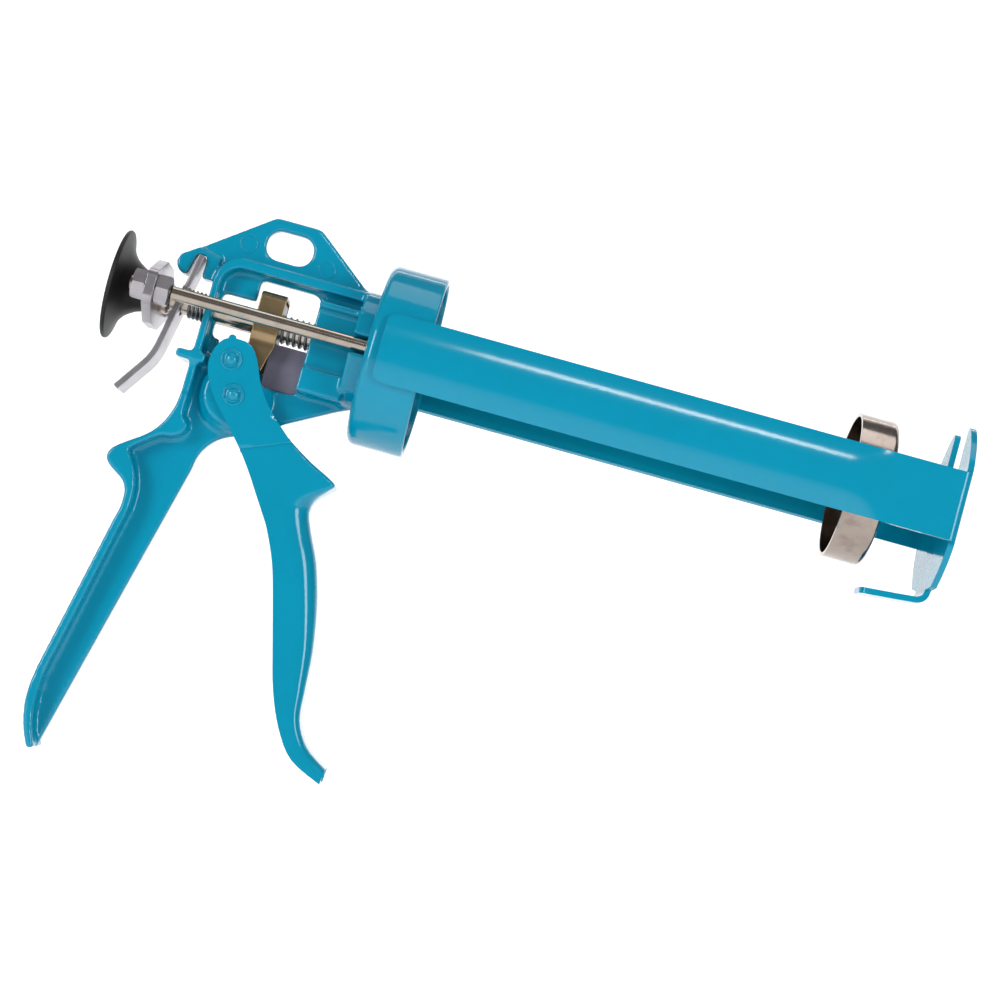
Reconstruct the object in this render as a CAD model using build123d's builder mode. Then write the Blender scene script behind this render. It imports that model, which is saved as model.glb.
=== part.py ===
from math import cos, radians, sin
import os

from build123d import *

os.makedirs("parts", exist_ok=True)

# Millimetres. +X runs forward along the barrel, +Z up, origin on the barrel axis
# at the rear face of the collar.

# ---- driving dimensions -------------------------------------------------------
web_t = 5.0               # centre web of the cast handle
flange_w = 20.0           # palm flange of the grip
rib_w = 18.0              # ribs and post of the cast handle
boss_w = 16.4             # pivot boss, between the trigger walls
trigger_w = 21.0          # outside width of the trigger channel
trigger_t = 2.0           # trigger sheet
pivot_x, pivot_z = -41.8, -28.1
pin_x, pin_z = -45.8, -16.1
pin_r = 2.5
head_r = 3.2
neck_r = 21.5             # cast neck the collar turns on
collar_r = 33.0
collar_len = 21.0
sheet = 2.2               # cradle sheet
strap_half = 12.3         # half width of a strap
plate_x = 212.4           # inner face of the front plate
notch_r = 9.2             # round seat of the nozzle notch
horn_y = 11.5             # half gap between the horns
disc_r = 33.4
rod_r = 4.0               # centre rod
side_rod_r = 2.5
side_rod_y = 18.6
run = 0.06                # running clearance, radial
cup_r = 26.6
cup_x = 175.0
cup_len = 14.0
yoke_x = -80.4
yoke_t = 3.5
nut_af = 10.0

SIDES = (("left", 1), ("right", -1))


# ---- cast handle ---------------------------------------------------------------
palm_heel = ((-77.8, -166.8), (-80.8, -160.0), (-82.7, -151.5), (-82.5, -142.5), (-80.2, -130.0))
palm_hook = ((-70.4, -81.0), (-69.3, -74.0), (-70.8, -68.2), (-75.2, -65.0), (-78.8, -61.6), (-77.9, -57.4))
palm_throat = ((-77.9, -57.4), (-72.4, -53.0), (-66.4, -48.4), (-62.0, -41.5), (-60.0, -32.0))

with BuildPart() as handle_casting:
    # thin centre web: hanging tab, rear lug, block, throat and grip in one outline
    with BuildSketch(Plane.XZ):
        with BuildLine():
            Polyline((-60, 9.7), (-71.8, 9.7))
            ThreePointArc((-71.8, 9.7), (-75.0, 13.2), (-72.5, 17.4))
            Polyline((-72.5, 17.4), (-45.5, 37.6))
            ThreePointArc((-45.5, 37.6), (-44.6, 38.05), (-43.6, 38.2))
            Line((-43.6, 38.2), (-30.0, 38.2))
            ThreePointArc((-30.0, 38.2), (-28.6, 38.0), (-27.2, 37.3))
            Polyline((-27.2, 37.3), (-6.5, 21.0), (0, 21.0), (0, -21.0), (-5.5, -23.4))
            Line((-5.5, -23.4), (-39.0, -42.0))
            Spline((-39.0, -42.0), (-44.6, -45.3), (-48.2, -50.2), (-49.7, -56.5))
            Line((-49.7, -56.5), (-75.0, -163.5))
            Polyline((-75.0, -163.5), (-75.2, -166.2), (-77.8, -166.8))
            Spline(*palm_heel)
            Line(palm_heel[-1], palm_hook[0])
            Spline(*palm_hook)
            Spline(*palm_throat)
            Line((-60, -32), (-60, 9.7))
        make_face()
    extrude(amount=web_t / 2, both=True)
    # rear flange of the grip, rolling over the horn and up into the post
    with BuildSketch(Plane.XZ):
        with BuildLine():
            Spline(*palm_heel)
            Line(palm_heel[-1], palm_hook[0])
            Spline(*palm_hook)
            Spline(*palm_throat)
            Polyline((-60, -32), (-57.2, -32), (-57.2, -40))
            Spline((-57.2, -40), (-54.8, -44.6), (-57.5, -47.4), (-62.0, -48.2))
            Spline((-62.0, -48.2), (-67.5, -52.0), (-72.5, -56.5))
            Spline((-72.5, -56.5), (-68.6, -62.2), (-66.4, -69.5), (-67.2, -81.0))
            Line((-67.2, -81.0), (-77.0, -130.0))
            Spline((-77.0, -130.0), (-79.2, -142.5), (-79.0, -154.0), (-75.2, -166.2))
            Line((-75.2, -166.2), (-77.8, -166.8))
        make_face()
    extrude(amount=flange_w / 2, both=True)
    # post and upper rib: one band with a rounded corner
    with BuildSketch(Plane.XZ):
        with BuildLine():
            Polyline((-60, -34), (-60, 9))
            ThreePointArc((-60, 9), (-57.3, 16.9), (-50, 20.0))
            Polyline((-50, 20.0), (-6, 20.0), (-6, 16.4), (-50, 16.4))
            ThreePointArc((-50, 16.4), (-55.3, 14.2), (-57.3, 8))
            Polyline((-57.3, 8), (-57.3, -34), (-60, -34))
        make_face()
    extrude(amount=rib_w / 2, both=True)
    # stop lug across the post
    with BuildSketch(Plane.XZ):
        with Locations((-60.4, -18.4)):
            Rectangle(10.8, 3.2)
    extrude(amount=9.8, both=True)
    # rear lug thickened around the lever slot
    with BuildSketch(Plane.XZ):
        with BuildLine():
            Polyline((-60, 9.7), (-71.8, 9.7))
            ThreePointArc((-71.8, 9.7), (-75.0, 13.2), (-72.5, 17.4))
            Polyline((-72.5, 17.4), (-68.5, 20.4), (-60, 18.0), (-60, 9.7))
        make_face()
    extrude(amount=4.5, both=True)
    # block that carries the rod in front of the window
    with BuildSketch(Plane.XZ):
        with BuildLine():
            Polyline((-21, 12.5), (-5, 12.5), (-5, -20.8), (-21, -20.8), (-21, 12.5))
        make_face()
    extrude(amount=13.0, both=True)
    # pivot boss
    with BuildSketch(Plane.XZ):
        with Locations((pivot_x, pivot_z)):
            Circle(11.2)
    extrude(amount=boss_w / 2, both=True)
    # low step around the boss
    with BuildSketch(Plane.XZ):
        with Locations((pivot_x, pivot_z)):
            Circle(12.9)
    extrude(amount=5.0, both=True)
    # neck
    with BuildSketch(Plane.YZ.offset(-6.0)):
        Circle(neck_r)
    extrude(amount=8.4)
    # window: clears the saddle, plates, springs and drive pin
    with BuildSketch(Plane.XZ):
        with BuildLine():
            Polyline((-56, 7), (-44, 7), (-44, 15), (-25, 15))
            ThreePointArc((-25, 15), (-22.2, 13.8), (-21, 11))
            Polyline((-21, 11), (-21, -20.4), (-22.6, -22), (-36, -22))
            Polyline((-36, -22), (-40, -21), (-52.8, -21), (-52.8, -9.5), (-56, -9.5), (-56, 7))
        make_face()
    extrude(amount=30, both=True, mode=Mode.SUBTRACT)
    # hanging slot
    with BuildSketch(Plane.XZ):
        with Locations((-37.5, 28.6)):
            RectangleRounded(17.0, 10.8, 4.8)
    extrude(amount=30, both=True, mode=Mode.SUBTRACT)
    # slanted slot the release lever hangs in, wider at its mouth
    with BuildSketch(Plane.XZ):
        with BuildLine():
            Polyline((-70.4, 9), (-68.3, 17.9), (-64.8, 17.9), (-65.0, 9), (-70.4, 9))
        make_face()
    extrude(amount=30, both=True, mode=Mode.SUBTRACT)
    # shallow pockets on both sides of the block, open to the neck grooves
    for face_y in (-1, 1):
        with BuildSketch(Plane.XZ.offset(face_y * 13.0)):
            with Locations((-13.0, -1)):
                Rectangle(17.0, 22.0)
        extrude(amount=-face_y * 3.0, mode=Mode.SUBTRACT)
    # grooves for the side rods through the neck
    with BuildSketch(Plane.YZ.offset(-6.5)):
        for name, s in SIDES:
            with Locations((s * 19.4, 0)):
                RectangleRounded(8.0, 6.4, 3.1)
            with Locations((s * 22.5, 0)):
                Rectangle(6.0, 6.4)
    extrude(amount=12, mode=Mode.SUBTRACT)
    # rod bores through post and block
    with BuildSketch(Plane.YZ.offset(-62)):
        Circle(rod_r + run)
    extrude(amount=70, mode=Mode.SUBTRACT)
    # rivet bore
    with BuildSketch(Plane.XZ):
        with Locations((pivot_x, pivot_z)):
            Circle(pin_r + run)
    extrude(amount=30, both=True, mode=Mode.SUBTRACT)
    # tapped holes for the retaining screws
    with BuildSketch(Plane.YZ.offset(2.4)):
        with PolarLocations(14.0, 4, start_angle=45):
            Circle(2.0)
    extrude(amount=-7.0, mode=Mode.SUBTRACT)
handle_casting.part.label = "handle_casting"
export_step(handle_casting.part, "parts/handle_casting.step")


# ---- trigger: folded channel straddling the pivot boss --------------------------
with BuildPart() as trigger:
    with BuildSketch(Plane.XZ):
        with BuildLine():
            Spline((-53.4, -20), (-51.5, -12.5), (-46.5, -8.6), (-40, -9.6), (-35.6, -16.5))
            Spline((-35.6, -16.5), (-30, -26.6), (-20, -36.8), (-8, -44.4), (0.0, -48.0))
            ThreePointArc((0.0, -48.0), (1.5, -49.6), (0.4, -51.4))
            Spline((0.4, -51.4), (-4.4, -56.5), (-4.8, -62.5), (0.6, -72.5), (7.4, -94), (10.4, -120))
            Spline((10.4, -120), (11.6, -132), (16.2, -140.6), (25.2, -146.4))
            Line((25.2, -146.4), (25.3, -152.1))
            Spline((25.3, -152.1), (12.6, -145.8), (3.8, -132.6), (-4.6, -108), (-13, -79.6), (-24, -60.2))
            Spline((-24, -60.2), (-33, -47.3), (-46, -33.2), (-52.2, -24.8), (-53.4, -20))
        make_face()
    extrude(amount=trigger_w / 2, both=True)
    # small nub on top of the ears
    with BuildSketch(Plane.XZ):
        with Locations((-47.6, -8.9)):
            Circle(1.5)
    extrude(amount=trigger_w / 2, both=True)
    # hollow the channel from behind, leaving the front wall below the crease
    with BuildSketch(Plane.XZ):
        with BuildLine():
            Polyline((-70, 10), (0, 10), (2, -38), (-16.5, -38.5), (-33.5, -48.6), (-15.0, -48.6))
            Spline((-15.0, -48.6), (-7.8, -55), (-7.2, -63), (-1.8, -73.5), (5.1, -94.4), (8.1, -120.2))
            Spline((8.1, -120.2), (9.4, -132.8), (14.6, -142.2), (27.0, -149.6))
            Polyline((27.0, -149.6), (27, -170), (-70, -170), (-70, 10))
        make_face()
    extrude(amount=trigger_w / 2 - trigger_t, both=True, mode=Mode.SUBTRACT)
    with BuildSketch(Plane.XZ):
        with Locations((pivot_x, pivot_z), (pin_x, pin_z)):
            Circle(pin_r + run)
    extrude(amount=30, both=True, mode=Mode.SUBTRACT)
trigger.part.label = "trigger"
export_step(trigger.part, "parts/trigger.step")


# ---- rivets and the spacer the trigger pushes with ------------------------------
for node, (cx, cz), shank in (
    ("pivot_rivet", (pivot_x, pivot_z), trigger_w),
    ("drive_rivet", (pin_x, pin_z), trigger_w),
):
    with BuildPart() as rivet:
        with BuildSketch(Plane.XZ):
            with Locations((cx, cz)):
                Circle(pin_r)
        extrude(amount=shank / 2 + 0.1, both=True)
        for face_y in (-1, 1):
            with BuildSketch(Plane.XZ.offset(face_y * (shank / 2 + 0.08))):
                with Locations((cx, cz)):
                    Circle(head_r)
            extrude(amount=face_y * 1.5)
        fillet(rivet.edges().filter_by(GeomType.CIRCLE).group_by(Axis.Y)[0], 0.9)
        fillet(rivet.edges().filter_by(GeomType.CIRCLE).group_by(Axis.Y)[-1], 0.9)
    rivet.part.label = node
    export_step(rivet.part, "parts/" + node + ".step")

with BuildPart() as drive_roller:
    with BuildSketch(Plane.XZ):
        with Locations((pin_x, pin_z)):
            Circle(3.5)
            Circle(pin_r + run, mode=Mode.SUBTRACT)
    extrude(amount=8.1, both=True)
drive_roller.part.label = "drive_roller"
export_step(drive_roller.part, "parts/drive_roller.step")


# ---- drive saddle, grip plates and springs ---------------------------------------
saddle_x, saddle_front, saddle_top = -42.2, -32.9, 11.1
with BuildPart() as drive_saddle:
    with BuildSketch(Plane.XZ):
        with BuildLine():
            Polyline((saddle_x, saddle_top), (saddle_front, saddle_top), (saddle_front, -8))
            Polyline((saddle_front, -8), (-35.2, -17.0), (saddle_x, -17.0), (saddle_x, saddle_top))
        make_face()
    extrude(amount=8.0, both=True)
    with BuildSketch(Plane.XZ):
        with Locations((-31.5, -1.7)):
            Rectangle(19.0, 40.0)
    extrude(amount=6.6, both=True, mode=Mode.SUBTRACT)
    with BuildSketch(Plane.XZ):
        with Locations(((saddle_x + saddle_front) / 2, saddle_top - 0.7)):
            Rectangle(saddle_front - saddle_x, 1.4)
    extrude(amount=7.0, both=True)
    with BuildSketch(Plane.YZ.offset(-50)):
        Circle(5.0)
    extrude(amount=15, mode=Mode.SUBTRACT)
drive_saddle.part.label = "drive_saddle"
export_step(drive_saddle.part, "parts/drive_saddle.step")

plate_w, plate_h, plate_t = 12.6, 14.0, 2.4
for i in range(3):
    with BuildPart() as grip_plate:
        with BuildSketch(Plane.YZ.offset(-40.45 + i * (plate_t + 0.1))):
            with Locations((0, 1.6)):
                RectangleRounded(plate_w, plate_h, 1.5)
            Circle(rod_r + run, mode=Mode.SUBTRACT)
        extrude(amount=plate_t)
    node = "grip_plate_" + str(i + 1)
    grip_plate.part.label = node
    export_step(grip_plate.part, "parts/" + node + ".step")

for node, x0, length, turns in (
    ("drive_spring", -33.0, 11.9, 5),
    ("release_spring", -67.2, 7.1, 4),
):
    wire_r = 0.5
    coil_r = 4.75
    travel = length - 2 * wire_r - 0.1
    with BuildPart() as spring:
        with BuildLine():
            coil = Helix(
                pitch=travel / turns,
                height=travel,
                radius=coil_r,
                center=(x0 + wire_r + 0.05, 0, 0),
                direction=(1, 0, 0),
            )
        with BuildSketch(Plane(coil @ 0, z_dir=coil % 0)):
            Circle(wire_r)
        sweep(path=coil, is_frenet=True)
    spring.part.label = node
    export_step(spring.part, "parts/" + node + ".step")


# steel guard let into the web, closing the lower front corner of the window
with BuildPart() as window_guard:
    with BuildSketch(Plane.XZ):
        with BuildLine():
            Polyline((-34.6, -5.8), (-21.0, -5.8), (-21.0, -20.4), (-22.6, -22.0))
            Polyline((-22.6, -22.0), (-34.6, -22.0), (-34.6, -5.8))
        make_face()
    extrude(amount=0.75, both=True)
window_guard.part.label = "window_guard"
export_step(window_guard.part, "parts/window_guard.step")


# ---- release lever ----------------------------------------------------------------
lever_t = 2.2
lever_arm, lever_tail = 10.0, 34.0        # degrees off vertical, above and below the bend
lever_bend = 21.0                         # bend radius on the rear face


def lever_edge(depth):
    """Straight arm, bend and straight tail, depth in front of the rear face."""
    centre = Vector(
        -73.6 - lever_bend * cos(radians(lever_arm)), -17.2 + lever_bend * sin(radians(lever_arm))
    )
    reach = lever_bend + depth
    a, b, c = (
        centre + Vector(reach * cos(radians(t)), -reach * sin(radians(t)))
        for t in (lever_arm, (lever_arm + lever_tail) / 2, lever_tail)
    )
    top = a + Vector(sin(radians(lever_arm)), cos(radians(lever_arm))) * 35.2
    tip = c - Vector(sin(radians(lever_tail)), cos(radians(lever_tail))) * 12.6
    return top, a, b, c, tip


with BuildPart() as release_lever:
    with BuildSketch(Plane.XZ):
        with BuildLine():
            for depth in (0, lever_t):
                top, a, b, c, tip = lever_edge(depth)
                Line(top, a)
                ThreePointArc(a, b, c)
                Line(c, tip)
            Line(lever_edge(0)[0], lever_edge(lever_t)[0])
            Line(lever_edge(0)[-1], lever_edge(lever_t)[-1])
        make_face()
    extrude(amount=8.6, both=True)
    with BuildSketch(Plane.YZ.offset(-90)):
        for s in (-1, 1):
            with Locations((s * 9.6, 14)):
                Rectangle(5.2, 18)
    extrude(amount=40, mode=Mode.SUBTRACT)
    with BuildSketch(Plane.YZ.offset(-90)):
        SlotCenterToCenter(0.6, 9.4, rotation=90)
    extrude(amount=40, mode=Mode.SUBTRACT)
release_lever.part.label = "release_lever"
export_step(release_lever.part, "parts/release_lever.step")


# ---- rods, yoke, nuts and thumb pad ------------------------------------------------
with BuildPart() as centre_rod:
    with BuildSketch(Plane.YZ.offset(-86.0)):
        Circle(3.0)
    extrude(amount=86.0 + yoke_x + yoke_t)
    with BuildSketch(Plane.YZ.offset(yoke_x + yoke_t)):
        Circle(rod_r)
    extrude(amount=187.6 - yoke_x - yoke_t)
    with BuildSketch(Plane.YZ.offset(187.6)):
        Circle(3.0)
    extrude(amount=10.0)
centre_rod.part.label = "centre_rod"
export_step(centre_rod.part, "parts/centre_rod.step")

for name, s in SIDES:
    with BuildPart() as side_rod:
        with BuildSketch(Plane.YZ.offset(-86.6)):
            with Locations((s * side_rod_y, 0)):
                Circle(side_rod_r)
        extrude(amount=86.6 + 187.6)
        chamfer(side_rod.edges().filter_by(GeomType.CIRCLE), 0.4)
    node = "side_rod_" + name
    side_rod.part.label = node
    export_step(side_rod.part, "parts/" + node + ".step")

with BuildPart() as rear_yoke:
    with BuildSketch(Plane.YZ.offset(yoke_x)):
        with BuildLine():
            Polyline((-25.0, -5.5), (-25.0, 5.5), (-8.5, 11.5), (8.5, 11.5), (25.0, 5.5))
            Polyline((25.0, 5.5), (25.0, -5.5), (8.5, -11.5), (-8.5, -11.5), (-25.0, -5.5))
        make_face()
    extrude(amount=yoke_t)
    fillet(rear_yoke.edges().filter_by(Axis.X), 3.5)
    with BuildSketch(Plane.YZ.offset(yoke_x)):
        Circle(3.0)
        with Locations((side_rod_y, 0), (-side_rod_y, 0)):
            Circle(side_rod_r)
    extrude(amount=yoke_t, mode=Mode.SUBTRACT)
rear_yoke.part.label = "rear_yoke"
export_step(rear_yoke.part, "parts/rear_yoke.step")


def hex_nut(node, x, y, bore, width, height):
    with BuildPart() as nut:
        with BuildSketch(Plane.YZ.offset(x)):
            with Locations((y, 0)):
                RegularPolygon(width / 2, 6, major_radius=False)
                Circle(bore, mode=Mode.SUBTRACT)
        extrude(amount=height)
        with BuildSketch(Plane.YZ.offset(x)):
            with Locations((y, 0)):
                Circle(width * 0.575)
        extrude(amount=height, mode=Mode.INTERSECT)
    nut.part.label = node
    export_step(nut.part, "parts/" + node + ".step")


for name, s in SIDES:
    hex_nut("yoke_nut_rear_" + name, yoke_x - 5.0, s * side_rod_y, side_rod_r, nut_af, 5.0)
    hex_nut("yoke_nut_front_" + name, yoke_x + yoke_t, s * side_rod_y, side_rod_r, nut_af, 5.0)
    hex_nut("cup_nut_" + name, 183.3, s * side_rod_y, side_rod_r, nut_af - 2.0, 2.8)

with BuildPart() as rod_shoulder:
    with BuildSketch(Plane.YZ.offset(yoke_x + yoke_t)):
        Circle(6.0)
        Circle(rod_r, mode=Mode.SUBTRACT)
    extrude(amount=3.4)
    chamfer(rod_shoulder.edges().group_by(Axis.X)[-1], 0.8)
rod_shoulder.part.label = "rod_shoulder"
export_step(rod_shoulder.part, "parts/rod_shoulder.step")

with BuildPart() as thumb_pad:
    with BuildSketch(Plane.XZ):
        with BuildLine():
            Polyline((-86.2, 0), (-86.2, 3.0), (-80.4, 3.0), (-80.4, 7.0), (-83.0, 7.3))
            Spline((-83.0, 7.3), (-87.0, 9.2), (-89.8, 11.8), (-91.5, 15.2), (-92.6, 19.0))
            ThreePointArc((-92.6, 19.0), (-93.4, 19.9), (-94.3, 19.3))
            Spline((-94.3, 19.3), (-94.8, 15.0), (-94.4, 0))
            Line((-94.4, 0), (-86.2, 0))
        make_face()
    revolve(axis=Axis.X)
thumb_pad.part.label = "thumb_pad"
export_step(thumb_pad.part, "parts/thumb_pad.step")


# ---- pushers ------------------------------------------------------------------------
with BuildPart() as pusher_cup:
    with BuildSketch(Plane.XZ):
        with BuildLine():
            front = cup_x + cup_len
            Polyline((cup_x, cup_r), (front - 2.0, cup_r))
            ThreePointArc((front - 2.0, cup_r), (front - 0.59, cup_r - 0.59), (front, cup_r - 2.0))
            Polyline((front, cup_r - 2.0), (front, 12.0), (front - 1.4, 12.0))
            Polyline((front - 1.4, 12.0), (front - 1.4, cup_r - 2.0), (front - 2.0, cup_r - 1.4))
            Polyline((front - 2.0, cup_r - 1.4), (cup_x, cup_r - 1.4), (cup_x, cup_r))
        make_face()
    revolve(axis=Axis.X)
    # cross bridge behind the face ties cup, centre rod and side rods together
    with BuildSketch(Plane.YZ.offset(cup_x + cup_len - 1.4)):
        Rectangle(2 * (cup_r - 1.9), 9.0)
    extrude(amount=-1.4)
    with BuildSketch(Plane.YZ.offset(cup_x + 5)):
        Circle(rod_r)
        with Locations((side_rod_y, 0), (-side_rod_y, 0)):
            Circle(side_rod_r)
    extrude(amount=8.5, mode=Mode.SUBTRACT)
pusher_cup.part.label = "pusher_cup"
export_step(pusher_cup.part, "parts/pusher_cup.step")

with BuildPart() as inner_pusher:
    with BuildSketch(Plane.YZ.offset(187.6)):
        Circle(8.3)
        Circle(3.0, mode=Mode.SUBTRACT)
    extrude(amount=5.0)
    fillet(inner_pusher.edges().group_by(Axis.X)[-1].sort_by(SortBy.RADIUS)[-1:], 0.8)
inner_pusher.part.label = "inner_pusher"
export_step(inner_pusher.part, "parts/inner_pusher.step")
hex_nut("inner_pusher_nut", 192.6, 0, 3.0, nut_af, 4.0)


# ---- collar, retaining plate and screws ------------------------------------------------
with BuildPart() as collar:
    with BuildSketch(Plane.XZ):
        with BuildLine():
            Polyline((0, neck_r + run), (0, collar_r - 3.2))
            ThreePointArc((0, collar_r - 3.2), (0.94, collar_r - 0.94), (3.2, collar_r))
            Polyline((3.2, collar_r), (collar_len, collar_r), (collar_len, collar_r - 2.0))
            Polyline((collar_len, collar_r - 2.0), (3.2, collar_r - 2.0))
            ThreePointArc((3.2, collar_r - 2.0), (2.35, collar_r - 2.35), (2.0, collar_r - 3.2))
            Polyline((2.0, collar_r - 3.2), (2.0, neck_r + run), (0, neck_r + run))
        make_face()
    revolve(axis=Axis.X)
collar.part.label = "collar"
export_step(collar.part, "parts/collar.step")

with BuildPart() as friction_ring:
    with BuildSketch(Plane.YZ.offset(2.0)):
        Circle(27.0)
        Circle(neck_r + 0.3, mode=Mode.SUBTRACT)
    extrude(amount=0.38)
friction_ring.part.label = "friction_ring"
export_step(friction_ring.part, "parts/friction_ring.step")

with BuildPart() as retaining_plate:
    with BuildSketch(Plane.YZ.offset(2.4)):
        Circle(27.0)
        Circle(rod_r + 0.4, mode=Mode.SUBTRACT)
        with Locations((side_rod_y, 0), (-side_rod_y, 0)):
            Circle(side_rod_r + 0.4, mode=Mode.SUBTRACT)
        with PolarLocations(14.0, 4, start_angle=45):
            Circle(2.0, mode=Mode.SUBTRACT)
    extrude(amount=2.4)
retaining_plate.part.label = "retaining_plate"
export_step(retaining_plate.part, "parts/retaining_plate.step")

with BuildPart() as retaining_screws:
    with BuildSketch(Plane.YZ.offset(-4.0)):
        with PolarLocations(14.0, 4, start_angle=45):
            Circle(2.0)
    extrude(amount=8.9)
    with BuildSketch(Plane.YZ.offset(4.8)):
        with PolarLocations(14.0, 4, start_angle=45):
            Circle(3.6)
    extrude(amount=2.2)
    fillet(retaining_screws.edges().group_by(Axis.X)[-1], 1.0)
for i, solid in enumerate(retaining_screws.part.solids()):
    node = "retaining_screw_" + str(i + 1)
    solid.label = node
    export_step(solid, "parts/" + node + ".step")


# ---- cradle: two straps folded into the front plate, with a rear-turned lip ---------------
strap_r = collar_r
flat_y = disc_r - sheet
dish_end, flat_start = 180.0, 190.0
inner_y = (strap_r**2 - strap_half**2) ** 0.5
outer_y = ((strap_r + sheet) ** 2 - strap_half**2) ** 0.5
for name, s in SIDES:
    with BuildPart() as strap:
        # dished length, curved to the collar it is welded to
        with BuildSketch(Plane.YZ.offset(4.7)):
            Circle(strap_r + sheet)
            Circle(strap_r, mode=Mode.SUBTRACT)
            with Locations((s * 40, 0)):
                Rectangle(60, 2 * strap_half, mode=Mode.INTERSECT)
        extrude(amount=dish_end - 4.7)
        # short stretch where the dish flattens out
        with BuildSketch(Plane.YZ.offset(dish_end)):
            with BuildLine():
                ThreePointArc((s * inner_y, -strap_half), (s * strap_r, 0), (s * inner_y, strap_half))
                Line((s * inner_y, strap_half), (s * outer_y, strap_half))
                ThreePointArc(
                    (s * outer_y, strap_half), (s * (strap_r + sheet), 0), (s * outer_y, -strap_half)
                )
                Line((s * outer_y, -strap_half), (s * inner_y, -strap_half))
            make_face()
        with BuildSketch(Plane.YZ.offset(flat_start)):
            with Locations((s * (flat_y + sheet / 2), 0)):
                Rectangle(sheet, 2 * strap_half)
        loft()
        # flat end, up to the fold
        with BuildSketch(Plane.YZ.offset(flat_start)):
            with Locations((s * (flat_y + sheet / 2), 0)):
                Rectangle(sheet, 2 * strap_half)
        extrude(amount=plate_x + sheet - flat_start)
        fold = strap.edges().filter_by(Axis.Z).group_by(Axis.X)[-1].sort_by(Axis.Y)
        fillet(fold[-1 if s > 0 else 0], 2.0)
    node = "strap_" + name
    strap.part.label = node
    export_step(strap.part, "parts/" + node + ".step")

with BuildPart() as front_plate:
    # disc with an open nozzle notch between two horns
    with BuildSketch(Plane.YZ.offset(plate_x)):
        Circle(disc_r)
        with BuildLine():
            Polyline(
                (-notch_r, 0), (-horn_y, 12), (-horn_y, 40),
                (horn_y, 40), (horn_y, 12), (notch_r, 0), (-notch_r, 0),
            )
        make_face(mode=Mode.SUBTRACT)
        Circle(notch_r, mode=Mode.SUBTRACT)
        with Locations((0, 40.6)):
            Rectangle(80, 20, mode=Mode.SUBTRACT)
        with Locations((0, -38.6)):
            Rectangle(80, 20, mode=Mode.SUBTRACT)
        for s in (-1, 1):
            with Locations((s * (flat_y + 10), 0)):
                Rectangle(20, 2 * strap_half, mode=Mode.SUBTRACT)
    extrude(amount=sheet)
    # lip folded back under the cartridge shoulder
    with BuildSketch(Plane.XZ):
        with BuildLine():
            out_x = plate_x + sheet
            Polyline((plate_x, -27.5), (out_x, -27.5), (out_x, -29.5))
            Spline((out_x, -29.5), (213.4, -32.6), (209.6, -34.0), tangents=((0, -1), (-1, -0.12)))
            Polyline((209.6, -34.0), (190.4, -36.2), (190.65, -34.0), (208.9, -31.8))
            Spline((208.9, -31.8), (211.6, -30.9), (plate_x, -29.0), tangents=((1, 0.12), (0, 1)))
            Line((plate_x, -29.0), (plate_x, -27.5))
        make_face()
    extrude(amount=8.6, both=True)
front_plate.part.label = "front_plate"
export_step(front_plate.part, "parts/front_plate.step")
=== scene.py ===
import bmesh
import bpy
import math
from mathutils import Matrix, Vector


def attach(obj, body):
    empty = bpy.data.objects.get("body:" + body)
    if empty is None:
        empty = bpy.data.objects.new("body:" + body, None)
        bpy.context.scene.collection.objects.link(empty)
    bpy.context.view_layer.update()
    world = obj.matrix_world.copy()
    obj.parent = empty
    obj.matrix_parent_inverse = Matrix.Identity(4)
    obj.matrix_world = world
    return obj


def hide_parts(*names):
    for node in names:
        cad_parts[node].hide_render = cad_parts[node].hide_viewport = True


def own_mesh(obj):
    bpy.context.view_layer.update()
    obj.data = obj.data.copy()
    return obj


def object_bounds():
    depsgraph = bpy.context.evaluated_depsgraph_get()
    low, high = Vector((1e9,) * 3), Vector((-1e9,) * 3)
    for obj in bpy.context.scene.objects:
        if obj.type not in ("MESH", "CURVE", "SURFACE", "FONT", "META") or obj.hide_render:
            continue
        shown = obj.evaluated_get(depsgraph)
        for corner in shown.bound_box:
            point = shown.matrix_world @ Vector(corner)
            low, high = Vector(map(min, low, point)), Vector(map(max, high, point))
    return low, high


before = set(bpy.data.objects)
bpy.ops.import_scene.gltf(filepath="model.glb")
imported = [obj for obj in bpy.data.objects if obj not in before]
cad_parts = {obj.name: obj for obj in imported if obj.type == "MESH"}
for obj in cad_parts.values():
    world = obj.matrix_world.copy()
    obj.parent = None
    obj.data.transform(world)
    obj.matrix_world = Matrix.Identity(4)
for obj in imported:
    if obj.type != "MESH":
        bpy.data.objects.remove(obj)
cad_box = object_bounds()
scene = bpy.context.scene
mm = 0.001


# The studio: a pale, faintly self-lit sweep that runs from floor to backdrop, a softbox
# either side of the camera, one overhead, and a narrow strip that draws the
# highlight along the barrel.
aim = Vector((59.0, 0.0, -38.1)) * mm
tilt, roll, reach = math.radians(3.9), math.radians(15.5), 0.9
forward = Vector((0.0, math.cos(tilt), math.sin(tilt)))
level_right = Vector((1.0, 0.0, 0.0))
level_up = level_right.cross(forward)
right = math.cos(roll) * level_right + math.sin(roll) * level_up
up = -math.sin(roll) * level_right + math.cos(roll) * level_up
camera_data = bpy.data.cameras.new("camera")
camera_data.lens = 90.7
camera_data.sensor_width = 36.0
camera = bpy.data.objects.new("camera", camera_data)
camera.matrix_world = Matrix.Translation(aim - reach * forward) @ Matrix(
    (right, up, -forward)
).transposed().to_4x4()
scene.collection.objects.link(camera)
scene.camera = camera
scene.view_settings.view_transform = "Standard"

world = bpy.data.worlds.new("room")
world.use_nodes = True
world.node_tree.nodes["Background"].inputs["Color"].default_value = (0.78, 0.82, 0.86, 1)
world.node_tree.nodes["Background"].inputs["Strength"].default_value = 0.17
scene.world = world


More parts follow.
